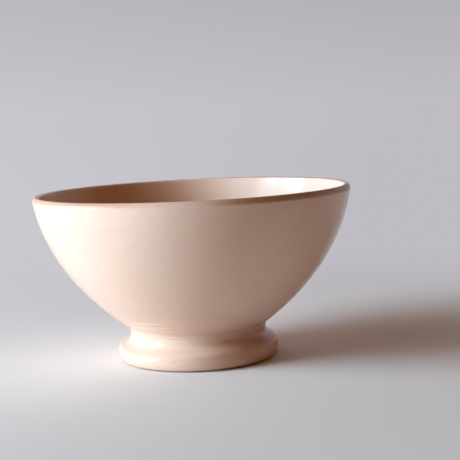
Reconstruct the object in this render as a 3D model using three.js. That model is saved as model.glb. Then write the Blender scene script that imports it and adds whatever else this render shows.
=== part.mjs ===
// A cafe au lait bowl: a thrown earthenware bowl that stands on a hollow pedestal foot.
// The foot is thrown by itself and stuck under the bowl with a thin ring of slip, then the whole is glazed pale pink.
// Millimetres, +Z up. The origin is the centre of the foot's resting face, so the bowl stands on z = 0.
import * as THREE from 'three';

// Overall sizes
const rimDiameter = 140; // across the lower edge of the lip's band, the widest place
const overallHeight = 75.3;

// Lip: a band that leans inward from its lower edge to the crest, then a narrow top that falls to the inner edge
const lipBandHeight = 2.4;
const lipBandInset = 1.2;
const lipBandBulge = 0.3; // how far the band swells out of a straight line
const lipTopWidth = 1.7;
const lipTopFall = 0.4;

// Wall, measured square to its outer side
const wallAtLip = 3.1;
const wallAtFoot = 6;
const floorThickness = 5;

// Foot
const footHeight = 14.4;
const footDiameter = 71.6; // across the roll, its widest place
const neckInset = 5.5; // from the roll's widest place in to the neck
const neckStart = 11.7; // height at which the flare has turned upright and the neck begins
const rollHeight = 5.5; // height of the roll's widest place
const kneeHeight = 1.1; // the roll is pulled in below this height
const tuckInset = 5.6; // from the roll's widest place in to the resting ring
const restingRingWidth = 2.6;
const restingRingBevel = 0.6;
const neckWall = 4.8;

// Slip joint
const slipThickness = 0.4;
const slipSetback = 0.15; // the wiped slip stays this far behind the faces of the neck and the bore

// Underside of the bowl, inside the foot: a shallow dome that hangs down from the seat
const undersideDrop = 3.3;

// Shape of the curves: leans are degrees from upright, the other values are shares of the stretch that they bend
const bellyLeanAtFoot = 55.2;
const bellyLeanAtLip = 9.55;
const bellyLowerFullness = 0.33;
const bellyUpperFullness = 0.544;
const coveFullness = 0.57;
const shoulderFullness = 0.66;
const soleFullness = 0.85;
const wellFullness = 0.5;
const wellStartFullness = 0.2;

// Fineness of the faceted surfaces
const facetsAround = 72;
const bellySteps = 18;
const insideSteps = 14;
const wellSteps = 7;
const undersideSteps = 5;
const flareSteps = 10;
const tuckSteps = 7;
const lipSteps = 3;

// Worked out from the sizes above
const rimRadius = rimDiameter / 2;
const lipEdgeHeight = overallHeight - lipBandHeight;
const footRadius = footDiameter / 2;
const neckRadius = footRadius - neckInset;
const boreTopRadius = neckRadius - neckWall;
const restingRingRadius = footRadius - tuckInset;
const seatHeight = footHeight + slipThickness;

const point = (radius, height) => new THREE.Vector2(radius, height);

// A step away from a point, at a lean from upright: a positive lean goes outward as it rises.
function along(start, leanDegrees, length) {
  const lean = THREE.MathUtils.degToRad(leanDegrees);
  return point(start.x + length * Math.sin(lean), start.y + length * Math.cos(lean));
}

// The belly's outside, one curve from the seam with the neck up to the lip's lower edge.
function bellyCurve() {
  const seam = point(neckRadius, seatHeight);
  const lipEdge = point(rimRadius, lipEdgeHeight);
  const lowerPull = bellyLowerFullness * (rimRadius - neckRadius);
  const upperPull = bellyUpperFullness * (lipEdgeHeight - seatHeight);
  return new THREE.CubicBezierCurve(
    seam,
    along(seam, bellyLeanAtFoot, lowerPull),
    along(lipEdge, bellyLeanAtLip, -upperPull),
    lipEdge,
  );
}

// The lip, from its lower edge over the crest to its inner edge.
function lipPoints() {
  const lipEdge = point(rimRadius, lipEdgeHeight);
  const crest = point(rimRadius - lipBandInset, overallHeight);
  const innerEdge = point(crest.x - lipTopWidth, overallHeight - lipTopFall);
  const bandSwell = point(
    (lipEdge.x + crest.x) / 2 + lipBandBulge,
    (lipEdge.y + crest.y) / 2 + lipBandBulge,
  );
  const band = new THREE.QuadraticBezierCurve(lipEdge, bandSwell, crest);
  return [...band.getPoints(lipSteps).slice(1), innerEdge];
}

// The inside of the wall: the belly's outside moved inward by the wall, which thickens from the lip to the foot.
function insideWallPoints(belly) {
  const points = [];
  for (let step = insideSteps; step >= 0; step -= 1) {
    const share = step / insideSteps;
    const outside = belly.getPoint(share);
    const rise = belly.getTangent(share);
    const wall = THREE.MathUtils.lerp(wallAtFoot, wallAtLip, share);
    points.push(point(outside.x - rise.y * wall, outside.y + rise.x * wall));
  }
  return points;
}

// The well: it carries on from the inside of the wall and lies level at the bowl's axis.
function wellPoints(wallEnd, belly) {
  const rise = belly.getTangent(0);
  const pull = wellFullness * wallEnd.x;
  const startPull = wellStartFullness * wallEnd.x;
  const floorHeight = seatHeight - undersideDrop + floorThickness;
  const well = new THREE.CubicBezierCurve(
    wallEnd,
    point(wallEnd.x - rise.x * startPull, wallEnd.y - rise.y * startPull),
    point(pull, floorHeight),
    point(0, floorHeight),
  );
  return well.getPoints(wellSteps).slice(1);
}

// The underside inside the foot: an arc of a circle from the axis up to the inner edge of the seat.
function undersidePoints() {
  const arcRadius = (boreTopRadius ** 2 + undersideDrop ** 2) / (2 * undersideDrop);
  const halfAngle = Math.asin(boreTopRadius / arcRadius);
  const points = [];
  for (let step = 0; step <= undersideSteps; step += 1) {
    const angle = (halfAngle * step) / undersideSteps;
    const height = seatHeight - undersideDrop + arcRadius * (1 - Math.cos(angle));
    points.push(point(arcRadius * Math.sin(angle), height));
  }
  return points;
}

// A solid of revolution. A closed ring repeats its first point at its end.
function turned(name, profile, material) {
  const mesh = new THREE.Mesh(new THREE.LatheGeometry(profile, facetsAround), material);
  mesh.name = name;
  // A lathe turns its profile about Y, so the piece is stood up along Z.
  mesh.rotation.x = Math.PI / 2;
  return mesh;
}

const pinkGlaze = new THREE.MeshStandardMaterial({ color: 0xeccfc1, roughness: 0.14, metalness: 0 });
const footGlaze = new THREE.MeshStandardMaterial({ color: 0xeacbbb, roughness: 0.16, metalness: 0 });
const bareClay = new THREE.MeshStandardMaterial({ color: 0xc99a7c, roughness: 0.85, metalness: 0 });

// Bowl body: wall, lip, well, underside and the flat seat ring that the foot is stuck to.
function makeBowlBody() {
  const belly = bellyCurve();
  const inside = insideWallPoints(belly);
  const wallEnd = inside[inside.length - 1];
  const profile = [
    ...undersidePoints(),
    ...belly.getPoints(bellySteps),
    ...lipPoints(),
    ...inside,
    ...wellPoints(wallEnd, belly),
  ];
  return turned('bowl_body', profile, pinkGlaze);
}

// Slip joint: a flat ring between the top of the foot and the bowl's seat.
function makeSlipJoint() {
  const outer = neckRadius - slipSetback;
  const inner = boreTopRadius + slipSetback;
  const profile = [
    point(inner, footHeight),
    point(outer, footHeight),
    point(outer, seatHeight),
    point(inner, seatHeight),
    point(inner, footHeight),
  ];
  return turned('slip_joint', profile, bareClay);
}

// Pedestal foot: resting ring, tucked roll, shoulder and cove, neck, and the bore that leaves it hollow.
function makePedestalFoot() {
  const roll = point(footRadius, rollHeight);
  const neck = point(neckRadius, neckStart);
  const flareRise = neckStart - rollHeight;
  const tuck = new THREE.CubicBezierCurve(
    point(restingRingRadius, 0),
    point(restingRingRadius + soleFullness * tuckInset, 0),
    point(footRadius, kneeHeight),
    roll,
  );
  const flare = new THREE.CubicBezierCurve(
    roll,
    point(footRadius, rollHeight + shoulderFullness * flareRise),
    point(neckRadius, neckStart - coveFullness * flareRise),
    neck,
  );
  const ringInner = restingRingRadius - restingRingWidth;
  const profile = [
    ...tuck.getPoints(tuckSteps),
    ...flare.getPoints(flareSteps).slice(1),
    point(neckRadius, footHeight),
    point(boreTopRadius, footHeight),
    point(ringInner - restingRingBevel, restingRingBevel),
    point(ringInner, 0),
    point(restingRingRadius, 0),
  ];
  return turned('pedestal_foot', profile, footGlaze);
}

const bowl = new THREE.Group();
bowl.name = 'cafe_au_lait_bowl';
bowl.add(makeBowlBody());
bowl.add(makeSlipJoint());
bowl.add(makePedestalFoot());

export default bowl;
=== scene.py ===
import math

import bpy
import numpy as np
from mathutils import Matrix, Vector


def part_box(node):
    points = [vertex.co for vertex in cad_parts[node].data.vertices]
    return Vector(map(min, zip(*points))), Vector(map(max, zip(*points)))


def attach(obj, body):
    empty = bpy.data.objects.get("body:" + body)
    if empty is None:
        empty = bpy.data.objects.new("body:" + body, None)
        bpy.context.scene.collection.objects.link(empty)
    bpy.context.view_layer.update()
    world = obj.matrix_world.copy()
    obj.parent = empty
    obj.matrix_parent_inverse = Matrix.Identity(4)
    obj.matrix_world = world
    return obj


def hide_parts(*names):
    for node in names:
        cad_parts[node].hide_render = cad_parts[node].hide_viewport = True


# A footed breakfast bowl in pale pink glaze: the thrown bowl, its pedestal foot, the slip that joins
# them and the glaze in the seam. Shapes are (radius, height) profiles in millimetres, turned round the
# bowl's axis.

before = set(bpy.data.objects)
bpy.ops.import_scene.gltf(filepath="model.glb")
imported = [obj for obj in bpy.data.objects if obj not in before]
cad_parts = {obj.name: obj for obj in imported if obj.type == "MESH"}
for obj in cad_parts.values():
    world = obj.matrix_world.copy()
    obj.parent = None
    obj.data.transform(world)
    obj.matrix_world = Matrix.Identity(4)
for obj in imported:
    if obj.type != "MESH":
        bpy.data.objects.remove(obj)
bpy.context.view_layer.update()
print("frame loaded:", ", ".join(sorted(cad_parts)))

mm = 0.001  # in metres


# Sizes of a node of the frame in millimetres: its greatest radius, its lowest and its highest point.
def nodeSizes(nodeName):
    low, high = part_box(nodeName)
    return high.x / mm, low.z / mm, high.z / mm


rimRadius, undersideHeight, overallHeight = nodeSizes("bowl_body")
slipRadius, footHeight, seatHeight = nodeSizes("slip_joint")
footRadius = nodeSizes("pedestal_foot")[0]


# A Bezier curve of any degree: its control points weighted by the Bernstein polynomials of the share
# along it.
def bezier(controls, share):
    controls = np.asarray(controls, float)
    degree = len(controls) - 1
    share = np.asarray(share, float)[:, None]
    order = np.arange(degree + 1)
    weights = np.array([math.comb(degree, k) for k in order])
    weights = weights * share ** order * (1 - share) ** (degree - order)
    return weights @ controls


# A step away from a point, at a lean in degrees from upright; a positive lean goes outward as it rises.
def leaning(start, lean, length):
    lean = math.radians(lean)
    return start + length * np.array([math.sin(lean), math.cos(lean)])


# Points at equal steps along a line of points, by linear interpolation over the distance travelled.
def evenly(points, step):
    travelled = np.concatenate([[0], np.cumsum(np.hypot(*np.diff(points, axis=0).T))])
    wanted = np.linspace(0, travelled[-1], int(travelled[-1] / step) + 1)
    return np.column_stack([np.interp(wanted, travelled, points[:, k]) for k in (0, 1)])


# The unit normal on the right of the way that the profile runs: its tangent turned by a quarter, which
# points outward.
def outwardNormals(profile, closed):
    padded = np.vstack([profile[-2:-1], profile, profile[1:2]]) if closed else profile
    along = np.gradient(padded, axis=0)
    along = along[1:-1] if closed else along
    along /= np.maximum(np.hypot(*along.T), 1e-9)[:, None]
    return np.column_stack([along[:, 1], -along[:, 0]])


# Corners are rounded by a Gaussian running mean along the profile, out to four times its spread. An
# open profile ends on the axis, so it carries on there as its own mirror image; a closed one carries on
# round itself.
def soften(profile, step, spread, closed):
    reach = int(4 * spread / step)
    weights = np.exp(-0.5 * (np.arange(-reach, reach + 1) * step / spread) ** 2)
    weights /= weights.sum()
    if closed:
        padded = np.vstack([profile[-reach - 1:-1], profile, profile[1:reach + 1]])
    else:
        mirror = np.array([-1, 1])
        padded = np.vstack([profile[reach:0:-1] * mirror, profile, profile[-2:-reach - 2:-1] * mirror])
    return np.column_stack([np.convolve(padded[:, k], weights, "valid") for k in (0, 1)])


# Rows for the mesh: the longest steps on plain stretches, shorter ones where the profile bends, so that
# none turns more than the largest turn, and the mark's step near the heights that carry small marks.
# The lengths change over gradually, by a running mean as wide as the blend on each side.
def chooseRows(profile, step, values, marks, markStep=0.12, blend=0.6):
    along = np.gradient(profile, axis=0)
    heading = np.unwrap(np.arctan2(along[:, 1], along[:, 0]))
    bend = np.abs(np.gradient(heading)) / step
    density = np.hypot(1 / values["longestStep"], bend / values["largestTurn"])
    outside = outwardNormals(profile, False)[:, 0] > 0
    for markHeight, markReach in marks:
        near = np.exp(-((profile[:, 1] - markHeight) / markReach) ** 4) * outside
        density = np.maximum(density, near / markStep)
    reach = int(blend / step)
    padded = np.pad(density, reach, mode="edge")
    density = np.convolve(padded, np.hanning(2 * reach + 3)[1:-1] / (reach + 1), "valid")
    travelled = np.concatenate([[0], np.cumsum((density[1:] + density[:-1]) / 2 * step)])
    wanted = np.linspace(0, travelled[-1], int(travelled[-1]) + 1)
    return np.column_stack([np.interp(wanted, travelled, profile[:, k]) for k in (0, 1)])


# Angles for the mesh: equal steps round the bowl, with finer ones beside each small mark, out to so
# many of its radii. Those crowd together at its middle, by a share of the cube of the way out.
def chooseAngles(count, marks=(), finer=13, radii=3, crowding=0.4):
    angles = [np.linspace(-math.pi, math.pi, count, endpoint=False)]
    share = np.linspace(-1, 1, finer)
    share = (1 - crowding) * share + crowding * share ** 3
    for mark in marks:
        reach = radii * mark["radius"] / mark["fromAxis"]
        angles.append(math.radians(mark["angle"]) + share * reach)
    return np.unique(np.round(np.concatenate(angles), 5))


# Four corners to a face over a grid of columns (round the bowl) and rows (along the profile). Columns
# always join up again; rows do only on a closed profile.
def gridFaces(columns, rows, closed):
    column = np.arange(columns)[:, None]
    row = np.arange(rows if closed else rows - 1)[None, :]
    nextColumn = (column + 1) % columns
    nextRow = (row + 1) % rows
    corners = [
        column * rows + row,
        nextColumn * rows + row,
        nextColumn * rows + nextRow,
        column * rows + nextRow,
    ]
    return np.stack(np.broadcast_arrays(*corners), axis=-1).reshape(-1, 4)


# A surface of revolution: x = r cos(a), y = r sin(a), z = h over every angle a and profile point (r, h).
# The shape function then moves the grid. An open profile's two ends lie on the axis and close in a fan
# round one point.
def turned(name, profile, angles, closed, reshape=None):
    kept = slice(0, -1) if closed else slice(1, -1)
    rows = profile[kept]
    grid = np.empty((len(angles), len(rows), 3))
    grid[..., 0] = rows[:, 0] * np.cos(angles)[:, None]
    grid[..., 1] = rows[:, 0] * np.sin(angles)[:, None]
    grid[..., 2] = rows[:, 1]
    if reshape:
        reshape(grid, rows, angles, outwardNormals(profile, closed)[kept])
    points = grid.reshape(-1, 3)
    faces = gridFaces(len(angles), len(rows), closed).tolist()
    if not closed:
        first = np.arange(len(angles)) * len(rows)
        last = first + len(rows) - 1
        ends = grid[:, [0, -1], 2].mean(axis=0)
        points = np.vstack([points, [[0, 0, ends[0]], [0, 0, ends[1]]]])
        bottom = np.full(len(angles), len(points) - 2)
        top = bottom + 1
        faces += np.column_stack([bottom, np.roll(first, -1), first]).tolist()
        faces += np.column_stack([last, np.roll(last, -1), top]).tolist()
    mesh = bpy.data.meshes.new(name)
    mesh.from_pydata((points * mm).tolist(), [], faces)
    mesh.polygons.foreach_set("use_smooth", np.ones(len(mesh.polygons), bool))
    mesh.update()
    made = bpy.data.objects.new(name, mesh)
    bpy.context.scene.collection.objects.link(made)
    triangles = sum(len(face) - 2 for face in faces)
    print(f"{name}: {len(points)} points, {triangles} triangles")
    return made


bowlValues = {  # millimetres and degrees unless a note says otherwise
    "lipBandHeight": 2.4,  # the band leans in from its lower edge to the crest
    "lipBandInset": 1.2,
    "lipBandBulge": 0.3,
    "lipTopWidth": 1.7,  # from the crest in to the inner edge
    "lipTopFall": 0.4,
    "wallAtLip": 3.1,
    "wallAtFoot": 6.0,
    "floorThickness": 5.0,
    "boreRadius": 25.5,  # inner edge of the seat that the foot is stuck to
    "leanAtFoot": 55.2,
    "leanAtLip": 9.55,
    "lowerFullness": 0.33,  # share of the belly's width
    "upperFullness": 0.544,  # share of the belly's height
    "wellFullness": 0.5,  # shares of the radius at which the well begins
    "wellStartFullness": 0.2,
    "cornerSpread": 0.22,  # how far glaze rounds the corners
    "swells": [  # lines left by the turning tool, and where round the bowl they show
        {"height": 19.2, "rise": 0.26, "halfWidth": 0.20, "angle": -121.5, "spread": 13.5},
        {"height": 21.4, "rise": 0.22, "halfWidth": 0.18, "angle": -121.0, "spread": 12.5},
        {"height": 19.2, "rise": 0.03, "halfWidth": 0.20, "angle": 0.0, "spread": 1000.0},  # all round
        {"height": 21.4, "rise": 0.02, "halfWidth": 0.20, "angle": 0.0, "spread": 1000.0},
    ],
    "ringsOutside": 0.010,  # faint rings left by turning, how proud
    "ringsInside": 0.022,
    "ringsStart": 2.0,  # they begin this far above the seat
    "ringsFade": 4.0,  # and reach their full height over this
    "outOfRound": 0.09,  # how far the rim is pressed out of a true circle
    "pressedTurn": 0.7,  # radians: twice the angle at which it isn't pressed
    "outOfLevel": 0.10,  # how far the rim dips on one side
    "dipTurn": -0.9,  # radians: the angle at which it doesn't dip
    "sags": [  # where the lip stands a little higher
        {"angle": -140.0, "spread": 60.0, "rise": 0.55, "heights": (67.0, 72.6, 73.0, 75.3)},
    ],
    "insideDepth": 1.6,  # the inside's colour and its painted shade begin over this far below the crest
    "curvePoints": 600,  # along each curve of the section
    "columns": 320,  # round the bowl
    "longestStep": 1.5,
    "largestTurn": 0.17,  # radians
    "swellReach": 0.6,  # rows are close together this far above and below a swell
    "pitReach": 0.5,
    "pits": [  # angle round the bowl, height, radius of the hole, depth
        {"angle": -125.1, "height": 40.5, "radius": 0.26, "depth": 0.12, "fromAxis": 56.0},
        {"angle": -93.6, "height": 40.1, "radius": 0.26, "depth": 0.12, "fromAxis": 55.8},
        {"angle": 37.0, "height": 56.8, "radius": 0.24, "depth": 0.11, "fromAxis": 65.2},
        {"angle": 151.0, "height": 29.7, "radius": 0.28, "depth": 0.13, "fromAxis": 47.0},
    ],
}

neckRadius = slipRadius + 0.15  # the slip is wiped back by this much from the neck


# The outside of the belly as one cubic Bezier curve, and its unit tangents.
def bellyCurve(values, share):
    seam = np.array([neckRadius, seatHeight])
    edge = np.array([rimRadius, overallHeight - values["lipBandHeight"]])
    controls = [
        seam,
        leaning(seam, values["leanAtFoot"], values["lowerFullness"] * (edge[0] - seam[0])),
        leaning(edge, values["leanAtLip"], -values["upperFullness"] * (edge[1] - seam[1])),
        edge,
    ]
    along = bezier(np.diff(controls, axis=0), share)
    return bezier(controls, share), along / np.hypot(*along.T)[:, None]


# The whole section: underside arc, seat, belly, lip band (a quadratic curve), lip top, inside (the
# belly moved in by a wall that thickens towards the foot) and well (a cubic curve that lies level at
# the axis).
def bowlSection(values):
    share = np.linspace(0, 1, values["curvePoints"])
    bore = values["boreRadius"]
    drop = seatHeight - undersideHeight
    arcRadius = (bore ** 2 + drop ** 2) / (2 * drop)
    sweep = math.asin(bore / arcRadius) * share
    underside = np.column_stack([np.sin(sweep), 1 - np.cos(sweep)]) * arcRadius + [0, undersideHeight]
    belly, along = bellyCurve(values, share)
    edge = belly[-1]
    crest = np.array([edge[0] - values["lipBandInset"], overallHeight])
    swell = (edge + crest) / 2 + values["lipBandBulge"]
    band = bezier([edge, swell, crest], share[::20])  # so short a curve needs few points
    innerEdge = crest - [values["lipTopWidth"], values["lipTopFall"]]
    wall = values["wallAtFoot"] + (values["wallAtLip"] - values["wallAtFoot"]) * share
    inside = (belly + np.column_stack([-along[:, 1], along[:, 0]]) * wall[:, None])[::-1]
    wellEdge = inside[-1]
    wellFloor = undersideHeight + values["floorThickness"]
    well = bezier([
        wellEdge,
        wellEdge - along[0] * (values["wellStartFullness"] * wellEdge[0]),
        [values["wellFullness"] * wellEdge[0], wellFloor],
        [0, wellFloor],
    ], share)
    return np.vstack([underside, belly, band[1:], innerEdge, inside, well[1:]])


# Faint uneven rings: a sum of sine waves over the height, whose lengths have no common measure.
def turningRings(height):
    waves = [(7.3, 0.4), (4.7, 2.1), (3.1, 4.0), (11.9, 5.2)]  # length in millimetres, phase in radians
    return sum(np.sin(2 * math.pi * height / length + phase) for length, phase in waves) / len(waves)


# Relief of the bowl's section: faint rings outside and inside.
def addRelief(profile, values):
    normals = outwardNormals(profile, False)
    onWall = np.clip((profile[:, 1] - seatHeight - values["ringsStart"]) / values["ringsFade"], 0, 1)
    outside = onWall * (normals[:, 0] > 0) * values["ringsOutside"]
    inside = onWall * (normals[:, 0] < 0) * values["ringsInside"]
    proud = turningRings(profile[:, 1]) * (outside + inside)
    return profile + normals * proud[:, None]


# Each angle's turn from a given one, in radians from -pi to pi.
def turnFrom(angles, middle):
    return (angles - math.radians(middle) + math.pi) % (2 * math.pi) - math.pi


# Moves the outside along its normals by a push for each point of the grid. Only what faces clearly
# outward moves.
def pushOut(grid, angles, normals, push, leastFacing=0.3):
    push = push * (normals[:, 0] > leastFacing)
    grid[..., 0] += push * normals[:, 0] * np.cos(angles)[:, None]
    grid[..., 1] += push * normals[:, 0] * np.sin(angles)[:, None]
    grid[..., 2] += push * normals[:, 1]


# A swell stands proud by its rise, times a Gaussian of the height away from it, times
# exp(-(turn / spread)^6). A pit is as deep as its depth, times a Gaussian of the distance from its middle.
def addMarks(grid, rows, angles, normals, values):
    push = np.zeros(grid.shape[:2])
    for swell in values["swells"]:
        around = np.exp(-(turnFrom(angles, swell["angle"]) / math.radians(swell["spread"])) ** 6)
        away = (rows[:, 1] - swell["height"]) / swell["halfWidth"]
        push += swell["rise"] * around[:, None] * np.exp(-away ** 2)[None, :]
    for pit in values["pits"]:
        across = turnFrom(angles, pit["angle"])[:, None] * pit["fromAxis"]
        up = (rows[:, 1] - pit["height"])[None, :]
        push -= pit["depth"] * np.exp(-(across ** 2 + up ** 2) / pit["radius"] ** 2)
    pushOut(grid, angles, normals, push)


# A smooth step from 0 at the first height to 1 at the second: three times the square of the share, less
# twice its cube.
def smoothStep(value, low, high):
    share = np.clip((value - low) / (high - low), 0, 1)
    return share ** 2 * (3 - 2 * share)


# A sag lifts the outside by its rise, times a Gaussian of the angle away from its middle, faded in and
# out between four heights of the profile.
def addSags(grid, rows, angles, normals, sags):
    for sag in sags:
        around = np.exp(-(turnFrom(angles, sag["angle"]) / math.radians(sag["spread"])) ** 2)
        start, full, still, end = sag["heights"]
        weight = smoothStep(rows[:, 1], start, full) * (1 - smoothStep(rows[:, 1], still, end))
        weight = weight * (normals[:, 0] > 0)
        grid[..., 2] += sag["rise"] * around[:, None] * weight[None, :]


# The thrown bowl is a little out of round and out of level, more so towards the rim: the radius shrinks
# by up to a fixed length with the double angle, and the height sinks with the single angle.
def bowlShape(grid, rows, angles, normals):
    values = bowlValues
    rise = np.clip((rows[:, 1] - seatHeight) / (overallHeight - seatHeight), 0, 1) ** 2
    pressed = (1 - np.cos(2 * angles - values["pressedTurn"])) / 2
    squeeze = values["outOfRound"] * pressed[:, None] * rise
    grid[..., :2] *= (1 - squeeze / np.maximum(rows[:, 0], 1))[..., None]
    dipped = (1 - np.cos(angles - values["dipTurn"])) / 2
    grid[..., 2] -= values["outOfLevel"] * dipped[:, None] * rise
    addSags(grid, rows, angles, normals, values["sags"])
    addMarks(grid, rows, angles, normals, values)


profileStep = 0.03


# A section as points at the profile's step, its corners rounded by the glaze.
def glazedProfile(section, values, closed):
    return soften(evenly(section, profileStep), profileStep, values["cornerSpread"], closed)


bowlProfile = addRelief(glazedProfile(bowlSection(bowlValues), bowlValues, False), bowlValues)
bowlMarks = [(swell["height"], bowlValues["swellReach"]) for swell in bowlValues["swells"]]
bowlMarks += [(pit["height"], bowlValues["pitReach"]) for pit in bowlValues["pits"]]
bowlRows = chooseRows(bowlProfile, profileStep, bowlValues, bowlMarks)
bowlRows[[0, -1], 0] = 0
bowlAngles = chooseAngles(bowlValues["columns"], bowlValues["pits"])
bowl = turned("bowl", bowlRows, bowlAngles, False, bowlShape)


# Writes how far each point lies down the bowl's inside, from 0 at the crest to 1 at the given depth and
# below: the glaze reads it as "inside" to lay the inside's colour and its painted shade. The two poles
# come last, the underside's and the well's.
def markInside(made, rows, columns, depth):
    crest = rows[:, 1].argmax()
    share = np.clip((overallHeight - rows[:, 1]) / depth, 0, 1) * (np.arange(len(rows)) > crest)
    everyPoint = np.concatenate([np.tile(share[1:-1], columns), [0, 1]]).astype(np.float32)
    attribute = made.data.attributes.new("inside", "FLOAT", "POINT")
    attribute.data.foreach_set("value", everyPoint)


markInside(bowl, bowlRows, len(bowlAngles), bowlValues["insideDepth"])


footValues = {  # millimetres and degrees unless a note says otherwise
    "neckStart": 11.7,  # height at which the flare has turned upright
    "rollHeight": 5.5,  # height of the widest place
    "kneeHeight": 1.1,
    "tuckInset": 5.6,
    "ringWidth": 2.6,
    "ringBevel": 0.6,
    "boreRadius": 25.5,
    "coveFullness": 0.57,  # share of the flare's height
    "shoulderFullness": 0.66,
    "soleFullness": 0.85,  # share of the tuck's inset
    "sags": [
        {"angle": -142.0, "spread": 32.0, "rise": -1.6, "heights": (2.0, 5.2, 7.6, 11.4)},
        {"angle": 176.0, "spread": 34.0, "rise": -1.0, "heights": (7.6, 9.4, 9.8, 13.4)},
        {"angle": -10.0, "spread": 48.0, "rise": 0.5, "heights": (2.0, 6.0, 9.6, 12.6)},
    ],
    "swells": [  # a shallow valley along the roll, with a swell below it
        {"height": 5.6, "rise": -0.24, "halfWidth": 0.75, "angle": 10.0, "spread": 115.0},
        {"height": 4.1, "rise": 0.05, "halfWidth": 0.6, "angle": 10.0, "spread": 115.0},
    ],
    "keptIn": 0.01,  # the marks stay this far inside the greatest radius
    "cornerSpread": 0.2,
    "curvePoints": 300,
    "columns": 288,
    "longestStep": 1.2,
    "largestTurn": 0.17,  # radians
    "pitReach": 0.6,
    "pits": [
        {"angle": -106.6, "height": 5.3, "radius": 0.48, "depth": 0.16, "fromAxis": 35.4},
        {"angle": 64.0, "height": 6.4, "radius": 0.3, "depth": 0.15, "fromAxis": 35.4},
    ],
}


# The section of the foot as a closed ring: tuck (a cubic curve), shoulder and cove (another one), neck,
# top, bore, bevel and flat resting ring.
def footSection(values):
    share = np.linspace(0, 1, values["curvePoints"])
    ringRadius = footRadius - values["tuckInset"]
    ringInner = ringRadius - values["ringWidth"]
    rise = values["neckStart"] - values["rollHeight"]
    roll = [footRadius, values["rollHeight"]]
    shoulder = [footRadius, values["rollHeight"] + values["shoulderFullness"] * rise]
    cove = [neckRadius, values["neckStart"] - values["coveFullness"] * rise]
    sole = [ringRadius + values["soleFullness"] * values["tuckInset"], 0]
    tuck = bezier([[ringRadius, 0], sole, [footRadius, values["kneeHeight"]], roll], share)
    flare = bezier([roll, shoulder, cove, [neckRadius, values["neckStart"]]], share)
    inner = [
        [neckRadius, footHeight],
        [values["boreRadius"], footHeight],
        [ringInner - values["ringBevel"], values["ringBevel"]],
        [ringInner, 0],
        [ringRadius, 0],
    ]
    return np.vstack([tuck, flare[1:], inner])


# The foot was shaped by hand, so its roll and shoulder sag and rise a little round it. Nothing passes
# its greatest radius or its top.
def footShape(grid, rows, angles, normals):
    addSags(grid, rows, angles, normals, footValues["sags"])
    addMarks(grid, rows, angles, normals, footValues)
    np.minimum(grid[..., 2], footHeight, out=grid[..., 2])
    reach = np.hypot(grid[..., 0], grid[..., 1])
    grid[..., :2] *= np.minimum(1, (footRadius - footValues["keptIn"]) / np.maximum(reach, 1))[..., None]


footProfile = glazedProfile(footSection(footValues), footValues, True)
footMarks = [(pit["height"], footValues["pitReach"]) for pit in footValues["pits"]]
footRows = chooseRows(footProfile, profileStep, footValues, footMarks)
footRows[:, 1] = np.maximum(footRows[:, 1], 0)
foot = turned("foot", footRows, chooseAngles(footValues["columns"], footValues["pits"]), True, footShape)


slipValues = {  # millimetres
    "beadOut": 1.0,  # the slip squeezed out inside the foot: how far in from the bore, and how far down
    "beadDown": 1.3,
    "beadTop": 0.3,  # it starts this far below the seat
    "beadCurl": (0.15, 0.1),  # and turns down about here: in from the bore, down from the foot's top
    "beadFoot": 0.12,  # its lower end reaches this far into the foot's wall
    "beadBack": 0.25,  # and goes back up to the foot's top this far out from the bore
    "curvePoints": 16,
    "columns": 240,
}


# The slip ring lies between the foot's top and the bowl's seat, and swells into a bead inside the foot:
# a quadratic curve.
def slipSection(values):
    bore = footValues["boreRadius"]
    curlIn, curlDown = values["beadCurl"]
    bead = bezier([
        [bore - values["beadOut"], seatHeight - values["beadTop"]],
        [bore - curlIn, footHeight - curlDown],
        [bore + values["beadFoot"], footHeight - values["beadDown"]],
    ], np.linspace(0, 1, values["curvePoints"]))
    return np.vstack([
        bead,
        [[bore + values["beadBack"], footHeight], [slipRadius, footHeight]],
        [[slipRadius, seatHeight], [bore, seatHeight]],
        bead[:1],
    ])


slip = turned("slip_ring", slipSection(slipValues), chooseAngles(slipValues["columns"]), True)


seamValues = {  # millimetres unless a note says otherwise
    "down": 1.0,  # the glaze fills the seam from this far down the neck
    "upShare": 0.03,  # to this share of the way up the belly
    "lowerOut": 0.004,  # its lower end stands this far out from the neck
    "upperOut": 0.01,  # and its upper end from the belly
    "hollow": (0.03, 0.25),  # it is pulled in to here: out from the neck, up from the foot's top
    "curvePoints": 16,
    "bellyPoints": 12,
    "columns": 240,
}


# The glaze in the seam: outside, a hollow quadratic curve from the neck to the belly; inside, the faces
# that it clings to.
def seamSection(values):
    belly, along = bellyCurve(bowlValues, np.linspace(0, values["upShare"], values["bellyPoints"]))
    hollowOut, hollowUp = values["hollow"]
    hollow = bezier([
        [neckRadius + values["lowerOut"], footHeight - values["down"]],
        [neckRadius + hollowOut, footHeight + hollowUp],
        belly[-1] + [values["upperOut"] * along[-1, 1], 0],
    ], np.linspace(0, 1, values["curvePoints"]))
    slipFace = [[slipRadius, seatHeight], [slipRadius, footHeight]]
    return np.vstack([hollow, belly[-2::-1], slipFace, hollow[:1]])


seam = turned("seam_glaze", seamSection(seamValues), chooseAngles(seamValues["columns"]), True)
print("shapes made")


# A shader node. Its settings are attributes, and its inputs are values or the outputs of other nodes.
def addNode(tree, kind, inputs=None, **settings):
    made = tree.nodes.new("ShaderNode" + kind)
    for name, value in settings.items():
        setattr(made, name, value)
    for name, value in (inputs or {}).items():
        if isinstance(value, bpy.types.NodeSocket):
            tree.links.new(value, made.inputs[name])
        else:
            made.inputs[name].default_value = value
    return made


# One step of arithmetic on one or two numbers.
def calc(tree, operation, first, second=0.0):
    return addNode(tree, "Math", {0: first, 1: second}, operation=operation).outputs[0]


# Several numbers, each times its own share, added up.
def weighted(tree, parts):
    total = 0.0
    for value, share in parts:
        total = calc(tree, "ADD", calc(tree, "MULTIPLY", value, share), total)
    return total


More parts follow.
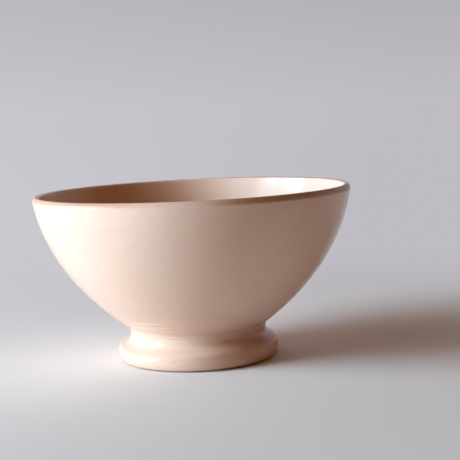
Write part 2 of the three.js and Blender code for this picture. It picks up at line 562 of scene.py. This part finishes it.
# What is left of 1 when a share is taken away.
def rest(tree, share):
    return calc(tree, "SUBTRACT", 1.0, share)


# From 0 to 1 as a value goes from one level to another, without a corner at either end.
def fade(tree, value, low, high):
    inputs = {"Value": value, "From Min": low, "From Max": high, "To Min": 0.0, "To Max": 1.0}
    return addNode(tree, "MapRange", inputs, interpolation_type="SMOOTHSTEP").outputs[0]


# From the low colour to the high one as the share goes from 0 to 1.
def mixColour(tree, share, low, high):
    inputs = {0: share, 6: low, 7: high}
    return addNode(tree, "Mix", inputs, data_type="RGBA").outputs[2]


# Cloudy noise about 0, from -1 to 1, whose lumps have the given size in millimetres. A squash of more
# than 1 makes them that much smaller one way, so that they are flat rings where it is the height.
def clouds(tree, place, size, detail=2.0, squash=None):
    if squash:
        place = addNode(tree, "Mapping", {"Vector": place, "Scale": squash}).outputs[0]
    noise = addNode(tree, "TexNoise", {"Vector": place, "Scale": 1 / size, "Detail": detail})
    return calc(tree, "MULTIPLY", calc(tree, "SUBTRACT", noise.outputs[0], 0.5), 2.0)


# A new material, its tree and shader, and the place on the piece in millimetres.
def startMaterial(name):
    material = bpy.data.materials.new(name)
    material.use_nodes = True
    tree = material.node_tree
    place = addNode(tree, "TexCoord").outputs["Object"]
    place = addNode(tree, "Mapping", {"Vector": place, "Scale": (1 / mm, 1 / mm, 1 / mm)}).outputs[0]
    return material, tree, tree.nodes["Principled BSDF"], place


# How far a place lies across the bowl, its height and its distance from the axis.
def partsOfPlace(tree, place):
    parts = addNode(tree, "SeparateXYZ", {0: place}).outputs
    flat = addNode(tree, "VectorMath", {0: place, 1: (1, 1, 0)}, operation="MULTIPLY").outputs[0]
    radius = addNode(tree, "VectorMath", {0: flat}, operation="LENGTH").outputs["Value"]
    return {"across": parts["X"], "height": parts["Z"], "radius": radius}


glazeValues = {  # millimetres and linear colours; places across the bowl go from left to right
    "pale": (0.825, 0.615, 0.495, 1),
    "deep": (0.790, 0.565, 0.440, 1),  # where the glaze lies thicker
    "slowSize": 38,  # lumps of the clouds that mix the two
    "mottleSize": 3.2,
    "ringSize": 30,
    "ringSquash": (1, 1, 16),
    "tintShares": (0.6, 0.35, 0.35),  # of those three
    "tintReach": 0.6,
    "pooledPale": (0.765, 0.545, 0.425, 1),  # on the foot and in the seam above it
    "pooledPaintedShade": (0.655, 0.390, 0.262, 1),  # painted shade on the foot's right side
    "pooledShadeTurn": (-4, 20),  # places across the bowl where pooled glaze goes over into painted shade
    "pooledFade": (11, 21),  # heights between which the pooled glaze ends
    "innerPaintedShade": (0.67, 0.375, 0.245, 1),  # painted shade on the inside's left wall
    "innerPale": (0.815, 0.63, 0.515, 1),
    "innerShadeTurn": (-24, 30),  # places across the bowl where the painted shade goes over into the pale
    "speck": (0.50, 0.33, 0.22, 1),
    "speckSpacing": 7.0,
    "speckRadius": 0.3,
    "speckLeast": 0.55,  # cells whose random number is below this carry none
    "speckShare": 0.5,
    "thin": (0.56, 0.32, 0.20, 1),  # over the lip's edges the clay shows through; partly painted shade
    "lipFade": (72.2, 73.2),  # heights between which the glaze thins at the lip
    "lipBand": (67.2, 68.6),  # radii between which the inside ends and the lip begins
    "lipLeft": (-42, 0),  # places across the bowl between which the lip's left thin glaze and painted shade end
    "lipRight": (-3, 25),  # and between which it begins again on the right
    "lipLeftShare": 0.75,
    "lipLeast": 0.24,  # how thin it stays in between
    "lipDrop": 0.65,  # how far it draws back to the crest everywhere but on the right
    "lipRagged": 0.25,  # how far its edge wanders up and down
    "raggedSize": 2.4,
    "clay": (0.56, 0.37, 0.235, 1),  # bare earthenware
    "ringFade": (0.2, 0.5),  # heights between which the wiped resting ring ends
    "ringRagged": 0.12,
    "tideFade": (8.5, 9.2),  # inside the foot the glaze ends at this height
    "tideWander": 1.6,
    "tideSize": 9,
    "hollowRadius": 28.4,  # what lies inside this and below the next is the hollow of the foot
    "hollowTop": 15.6,
    "grainSize": 0.5,
    "grainReach": 0.5,
    "grainHeight": 0.06,
    "waveSize": 4.5,  # the melted surface is faintly uneven
    "waveHeight": 0.01,
    "roughness": 0.13,
    "roughnessReach": 0.025,  # the mottling changes it by this much either way
    "pooledRoughness": 0.19,
    "thinRoughness": 0.3,
    "clayRoughness": 0.86,
    "ior": 1.5,
}


# The glaze's colour: clouds, mottling and flat rings from turning mix pale and deep. It is deeper where
# it pooled, with painted shade on the foot's right side, and inside the bowl painted shade darkens the
# left wall.
def glazeColour(tree, place, parts, mottle, values):
    slow = clouds(tree, place, values["slowSize"])
    rings = clouds(tree, place, values["ringSize"], detail=3.0, squash=values["ringSquash"])
    tint = weighted(tree, zip((slow, mottle, rings), values["tintShares"]))
    tint = fade(tree, tint, -values["tintReach"], values["tintReach"])
    colour = mixColour(tree, tint, values["pale"], values["deep"])
    # pooled glaze on the foot and in the seam, with painted shade on the foot's right side
    pooledAndShade = fade(tree, parts["across"], *values["pooledShadeTurn"])
    pooledAndShade = mixColour(tree, pooledAndShade, values["pooledPale"], values["pooledPaintedShade"])
    colour = mixColour(tree, fade(tree, parts["height"], *values["pooledFade"]), pooledAndShade, colour)
    # painted shade: the inside's left wall is laid darker and browner than the glaze
    inner = fade(tree, parts["across"], *values["innerShadeTurn"])
    inner = mixColour(tree, inner, values["innerPaintedShade"], values["innerPale"])
    inside = addNode(tree, "Attribute", attribute_name="inside").outputs["Fac"]
    return mixColour(tree, inside, colour, inner)


# Specks: the hearts of scattered cells, of which only some carry one.
def speckShare(tree, place, values):
    cells = addNode(tree, "TexVoronoi", {"Vector": place, "Scale": 1 / values["speckSpacing"]})
    chosen = addNode(tree, "SeparateColor", {0: cells.outputs["Color"]}).outputs[0]
    away = calc(tree, "MULTIPLY", cells.outputs["Distance"], values["speckSpacing"])
    reach = calc(tree, "MULTIPLY", fade(tree, chosen, values["speckLeast"], 1.0), values["speckRadius"])
    return calc(tree, "MULTIPLY", calc(tree, "LESS_THAN", away, reach), values["speckShare"])


# Thin glaze over the lip, partly painted shade: most on the shaded right side, less on the left, and
# least in between. Off the right side it draws back to the crest.
def thinShare(tree, parts, ragged, values):
    leftThinAndShade = rest(tree, fade(tree, parts["across"], *values["lipLeft"]))
    leftThinAndShade = calc(tree, "MULTIPLY", leftThinAndShade, values["lipLeftShare"])
    rightThinAndShade = fade(tree, parts["across"], *values["lipRight"])
    sideThinAndShade = calc(tree, "MAXIMUM", calc(tree, "MAXIMUM", leftThinAndShade, rightThinAndShade), values["lipLeast"])
    drop = calc(tree, "MULTIPLY", rest(tree, rightThinAndShade), values["lipDrop"])
    level = weighted(tree, ((parts["height"], 1.0), (ragged, values["lipRagged"]), (drop, -1.0)))
    onLip = fade(tree, level, *values["lipFade"])
    onBand = fade(tree, parts["radius"], *values["lipBand"])
    return calc(tree, "MULTIPLY", calc(tree, "MULTIPLY", onLip, onBand), sideThinAndShade)


# Bare clay: the wiped resting ring, and what lies above the glaze's tide line inside the foot.
def bareShare(tree, place, parts, ragged, values):
    edge = weighted(tree, ((parts["height"], 1.0), (ragged, values["ringRagged"])))
    wiped = rest(tree, fade(tree, edge, *values["ringFade"]))
    wander = clouds(tree, place, values["tideSize"])
    tide = weighted(tree, ((parts["height"], 1.0), (wander, values["tideWander"])))
    tide = fade(tree, tide, *values["tideFade"])
    within = calc(tree, "LESS_THAN", parts["radius"], values["hollowRadius"])
    below = calc(tree, "LESS_THAN", parts["height"], values["hollowTop"])
    hollow = calc(tree, "MULTIPLY", within, below)
    return calc(tree, "MAXIMUM", wiped, calc(tree, "MULTIPLY", tide, hollow))


# The roughness goes over from the plain glaze's into that of the pooled glaze, the thin glaze and the
# bare clay, by the share of each.
def glazeRoughness(tree, parts, mottle, thin, bare, values):
    roughness = calc(tree, "MULTIPLY", mottle, values["roughnessReach"])
    roughness = calc(tree, "ADD", roughness, values["roughness"])
    pooled = rest(tree, fade(tree, parts["height"], *values["pooledFade"]))
    finishes = ((pooled, "pooledRoughness"), (thin, "thinRoughness"), (bare, "clayRoughness"))
    for share, wanted in finishes:
        gap = calc(tree, "SUBTRACT", values[wanted], roughness)
        roughness = calc(tree, "ADD", roughness, calc(tree, "MULTIPLY", gap, share))
    return roughness


# Bumps of the given height in millimetres, laid over others if there are any.
def relief(tree, height, shape, under=None):
    inputs = {"Distance": height * mm, "Height": shape}
    if under is not None:
        inputs["Normal"] = under
    return addNode(tree, "Bump", inputs).outputs[0]


# The glaze over the clay, with its specks, its thin lip that is partly painted shade, and the clay left
# bare. The melted surface is faintly uneven, and the bare clay is grainy.
def glazeMaterial(name, values):
    material, tree, shader, place = startMaterial(name)
    parts = partsOfPlace(tree, place)
    mottle = clouds(tree, place, values["mottleSize"], detail=3.0)
    ragged = clouds(tree, place, values["raggedSize"], detail=3.0)
    grain = clouds(tree, place, values["grainSize"], detail=4.0)
    thin = thinShare(tree, parts, ragged, values)
    bare = bareShare(tree, place, parts, ragged, values)
    clay = fade(tree, grain, -values["grainReach"], values["grainReach"])
    clay = mixColour(tree, clay, values["clay"], values["speck"])
    colour = glazeColour(tree, place, parts, mottle, values)
    colour = mixColour(tree, speckShare(tree, place, values), colour, values["speck"])
    # the lip's thin glaze, partly painted shade, strongest on the right side
    colour = mixColour(tree, thin, colour, values["thin"])
    colour = mixColour(tree, bare, colour, clay)
    roughness = glazeRoughness(tree, parts, mottle, thin, bare, values)
    waves = clouds(tree, place, values["waveSize"], detail=1.0)
    waves = relief(tree, values["waveHeight"], waves)
    grit = relief(tree, values["grainHeight"], calc(tree, "MULTIPLY", grain, bare), waves)
    tree.links.new(colour, shader.inputs["Base Color"])
    tree.links.new(roughness, shader.inputs["Roughness"])
    tree.links.new(grit, shader.inputs["Normal"])
    shader.inputs["IOR"].default_value = values["ior"]
    return material


clayValues = {  # millimetres and linear colours
    "clay": (0.56, 0.37, 0.235, 1),
    "dark": (0.45, 0.28, 0.17, 1),
    "grainSize": 0.5,
    "patchSize": 6,
    "tintReach": 0.7,
    "smearSize": 5,
    "smearSquash": (1, 1, 6),
    "grainHeight": 0.08,
    "roughness": 0.88,
}


# Bare clay: grain and patches mix two browns, and a wiped smear lies over the grain.
def clayMaterial(name, values):
    material, tree, shader, place = startMaterial(name)
    grain = clouds(tree, place, values["grainSize"], detail=4.0)
    patches = clouds(tree, place, values["patchSize"])
    tint = fade(tree, calc(tree, "ADD", grain, patches), -values["tintReach"], values["tintReach"])
    smear = clouds(tree, place, values["smearSize"], squash=values["smearSquash"])
    grit = relief(tree, values["grainHeight"], calc(tree, "ADD", grain, smear))
    tree.links.new(mixColour(tree, tint, values["clay"], values["dark"]), shader.inputs["Base Color"])
    tree.links.new(grit, shader.inputs["Normal"])
    shader.inputs["Roughness"].default_value = values["roughness"]
    return material


bowlGlaze = glazeMaterial("pink_glaze", glazeValues)
bareClay = clayMaterial("bare_clay", clayValues)
for piece in (bowl, foot, seam):
    piece.data.materials.append(bowlGlaze)
slip.data.materials.append(bareClay)
print("materials made")

slots = ((bowl, "bowl_glaze"), (foot, "foot_glaze"), (seam, "foot_glaze"), (slip, "bare_clay"))
for piece, slot in slots:
    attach(piece, "root")
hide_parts("bowl_body")
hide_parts("pedestal_foot")
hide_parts("slip_joint")


stageValues = {  # metres, linear colours and radiances
    "floorColour": (0.775, 0.715, 0.68, 1),  # what it lights the bowl with from below
    "floorSeen": (0.805, 0.786, 0.771, 1),  # and what the camera sees, a little paler
    "floorRadius": 4.0,
    "floorSides": 128,
    "farStart": 0.085,  # from here to the next distance the floor turns into the plain backdrop
    "farEnd": 0.38,
    "backdropLeft": (0.585, 0.578, 0.618, 1),
    "backdropRight": (0.520, 0.507, 0.547, 1),
    "backdropTurn": 0.2,  # how far to either side it reaches those; from here on, shares of the distance
    "topShade": 0.86,  # the backdrop darkens to this share of its colour
    "topHeight": 0.09,  # up to this height
    "roomTurn": (-0.2, 0.3),  # reflections find the backdrop again from the bowl's front to behind it
    "roomTop": (0.3, 0.8),  # and lose it on the way up
    "roomShade": 0.08,  # what is left of it there
    "fillSide": (0.128, 0.034, 0.001, 1),  # the soft light that the room gives from the sides
    "fillTop": (0.165, 0.096, 0.026, 1),  # and from overhead
    "fillTurn": (0.1, 0.9),  # heights between which the one goes over into the other
}

paneColour = (0.9, 1.0, 1.08)
panelValues = {  # metres and radiances; mirrored ones show only in the gloss, and the others only light
    "window": {
        "colour": (0.82, 1.0, 1.155),
        "radiance": 17.45,
        "size": (0.75, 0.79),
        "place": (-1.168, -0.275, 0.405),
        "mirrored": False,
    },
    "mainPane": {
        "colour": paneColour,
        "radiance": 14.0,
        "size": (0.317, 0.384),
        "place": (-0.997, 0.078, 0.193),
        "mirrored": True,
    },
    "sidePane": {
        "colour": paneColour,
        "radiance": 12.0,
        "size": (0.157, 0.384),
        "place": (-0.948, -0.317, 0.193),
        "mirrored": True,
    },
    "sill": {
        "colour": paneColour,
        "radiance": 12.0,
        "size": (0.26, 0.055),
        "place": (-0.99, -0.14, 0.029),
        "mirrored": True,
    },
    "curtain": {
        "colour": paneColour,
        "radiance": 1.6,
        "size": (0.73, 0.66),
        "place": (-0.985, -0.174, 0.335),
        "mirrored": True,
    },
    "glow": {
        "colour": (0.96, 1.0, 1.28),
        "radiance": 2.9,
        "size": (2.0, 0.4),
        "place": (0.0, 1.1, 0.21),
        "mirrored": False,
    },
}


# Whether a ray comes from the camera or a mirrored surface, and how much of the backdrop it finds. A
# mirrored ray finds all of it behind the bowl and little of it in front and overhead, where the room is
# dark.
def sightOfRay(tree, direction, values):
    path = addNode(tree, "LightPath").outputs
    mirrored = calc(tree, "MAXIMUM", path["Is Glossy Ray"], path["Is Transmission Ray"])
    parts = addNode(tree, "SeparateXYZ", {0: direction}).outputs
    behind = fade(tree, parts["Y"], *values["roomTurn"])
    room = calc(tree, "MULTIPLY", behind, rest(tree, fade(tree, parts["Z"], *values["roomTop"])))
    room = calc(tree, "MAXIMUM", room, values["roomShade"])
    found = calc(tree, "MAXIMUM", path["Is Camera Ray"], calc(tree, "MULTIPLY", mirrored, room))
    return calc(tree, "MAXIMUM", path["Is Camera Ray"], mirrored), found


# The backdrop's colour for a direction: it changes evenly from side to side.
def backdropColour(tree, direction, values):
    side = addNode(tree, "SeparateXYZ", {0: direction}).outputs["X"]
    turn = values["backdropTurn"]
    share = addNode(tree, "MapRange", {"Value": side, "From Min": -turn, "From Max": turn}).outputs[0]
    return mixColour(tree, share, values["backdropLeft"], values["backdropRight"])


# A round floor in one flat face, which goes over into the backdrop's colour with the distance from the
# bowl.
def makeFloor(values):
    sides = values["floorSides"]
    angles = np.linspace(0, 2 * math.pi, sides, endpoint=False)
    rim = np.column_stack([np.cos(angles), np.sin(angles), np.zeros(sides)]) * values["floorRadius"]
    mesh = bpy.data.meshes.new("floor")
    mesh.from_pydata(rim.tolist(), [], [list(range(sides))])
    made = bpy.data.objects.new("floor", mesh)
    bpy.context.scene.collection.objects.link(made)
    material = bpy.data.materials.new("floor")
    material.use_nodes = True
    tree = material.node_tree
    shader = tree.nodes["Principled BSDF"]
    looked = addNode(tree, "LightPath").outputs["Is Camera Ray"]
    colour = mixColour(tree, looked, values["floorColour"], values["floorSeen"])
    tree.links.new(colour, shader.inputs["Base Color"])
    shader.inputs["Roughness"].default_value = 1.0
    shader.inputs["Specular IOR Level"].default_value = 0.0
    place = addNode(tree, "TexCoord").outputs["Object"]
    away = addNode(tree, "VectorMath", {0: place}, operation="LENGTH").outputs["Value"]
    direction = addNode(tree, "VectorMath", {0: place}, operation="NORMALIZE").outputs[0]
    found = sightOfRay(tree, direction, values)[1]
    share = calc(tree, "MULTIPLY", fade(tree, away, values["farStart"], values["farEnd"]), found)
    glow = addNode(tree, "Emission", {"Color": backdropColour(tree, direction, values), "Strength": 1.0})
    mixed = addNode(tree, "MixShader", {0: share, 1: shader.outputs[0], 2: glow.outputs[0]})
    tree.links.new(mixed.outputs[0], tree.nodes["Material Output"].inputs["Surface"])
    mesh.materials.append(material)


# The world: the camera and the gloss find the backdrop, which darkens a little upward, and everything
# else is lit by the room's soft fill.
def makeWorld(values):
    world = bpy.data.worlds.new("studio")
    world.use_nodes = True
    tree = world.node_tree
    fill = tree.nodes["Background"]
    direction = addNode(tree, "TexCoord").outputs["Generated"]
    height = addNode(tree, "SeparateXYZ", {0: direction}).outputs["Z"]
    room = mixColour(tree, fade(tree, height, *values["fillTurn"]), values["fillSide"], values["fillTop"])
    tree.links.new(room, fill.inputs["Color"])
    levels = {"From Max": values["topHeight"], "To Min": 1.0, "To Max": values["topShade"]}
    shade = addNode(tree, "MapRange", {"Value": height, **levels}).outputs[0]
    sight, found = sightOfRay(tree, direction, values)
    shade = calc(tree, "MULTIPLY", shade, found)
    colour = backdropColour(tree, direction, values)
    seen = addNode(tree, "Background", {"Color": colour, "Strength": shade})
    mixed = addNode(tree, "MixShader", {0: sight, 1: fill.outputs[0], 2: seen.outputs[0]})
    tree.links.new(mixed.outputs[0], tree.nodes["World Output"].inputs["Surface"])
    bpy.context.scene.world = world


# An upright rectangular panel that faces the bowl. Its power is its radiance times its area times pi.
def makePanel(name, values):
    light = bpy.data.lights.new(name, "AREA")
    light.shape = "RECTANGLE"
    light.size, light.size_y = values["size"]
    light.color = values["colour"]
    light.energy = values["radiance"] * light.size * light.size_y * math.pi
    made = bpy.data.objects.new(name, light)
    place = Vector(values["place"])
    facing = Vector((-place.x, -place.y, 0)).to_track_quat("-Z", "Y").to_matrix().to_4x4()
    made.matrix_world = Matrix.Translation(place) @ facing
    made.visible_camera = False
    made.visible_glossy = values["mirrored"]
    made.visible_diffuse = not values["mirrored"]
    bpy.context.scene.collection.objects.link(made)


cameraValues = {  # metres and degrees, for a square picture
    "place": (0.0, -0.5, 0.11075),
    "yaw": 1.852,  # to the right
    "pitch": 6.265,  # down
    "roll": -2.594,
    "lens": 88.37,  # millimetres, on a sensor as wide as the next
    "sensor": 36,
    "nearest": 0.01,  # it sees nothing nearer than this
}


# The camera looks ahead by its yaw and pitch, and its roll turns the sideways and upward directions
# into each other.
def makeCamera(values):
    yaw, pitch, roll = (math.radians(values[name]) for name in ("yaw", "pitch", "roll"))
    ahead = Vector((math.sin(yaw) * math.cos(pitch), math.cos(yaw) * math.cos(pitch), -math.sin(pitch)))
    right = Vector((math.cos(yaw), -math.sin(yaw), 0))
    up = right.cross(ahead)
    right, up = right * math.cos(roll) + up * math.sin(roll), up * math.cos(roll) - right * math.sin(roll)
    camera = bpy.data.cameras.new("camera")
    camera.lens = values["lens"]
    camera.sensor_width = values["sensor"]
    camera.clip_start = values["nearest"]
    made = bpy.data.objects.new("camera", camera)
    bpy.context.scene.collection.objects.link(made)
    turn = Matrix((right, up, -ahead)).transposed().to_4x4()
    made.matrix_world = Matrix.Translation(Vector(values["place"])) @ turn
    bpy.context.scene.camera = made


makeFloor(stageValues)
makeWorld(stageValues)
for name, values in panelValues.items():
    makePanel(name, values)
makeCamera(cameraValues)
bpy.context.scene.view_settings.view_transform = "Standard"
print("stage, light and camera made")
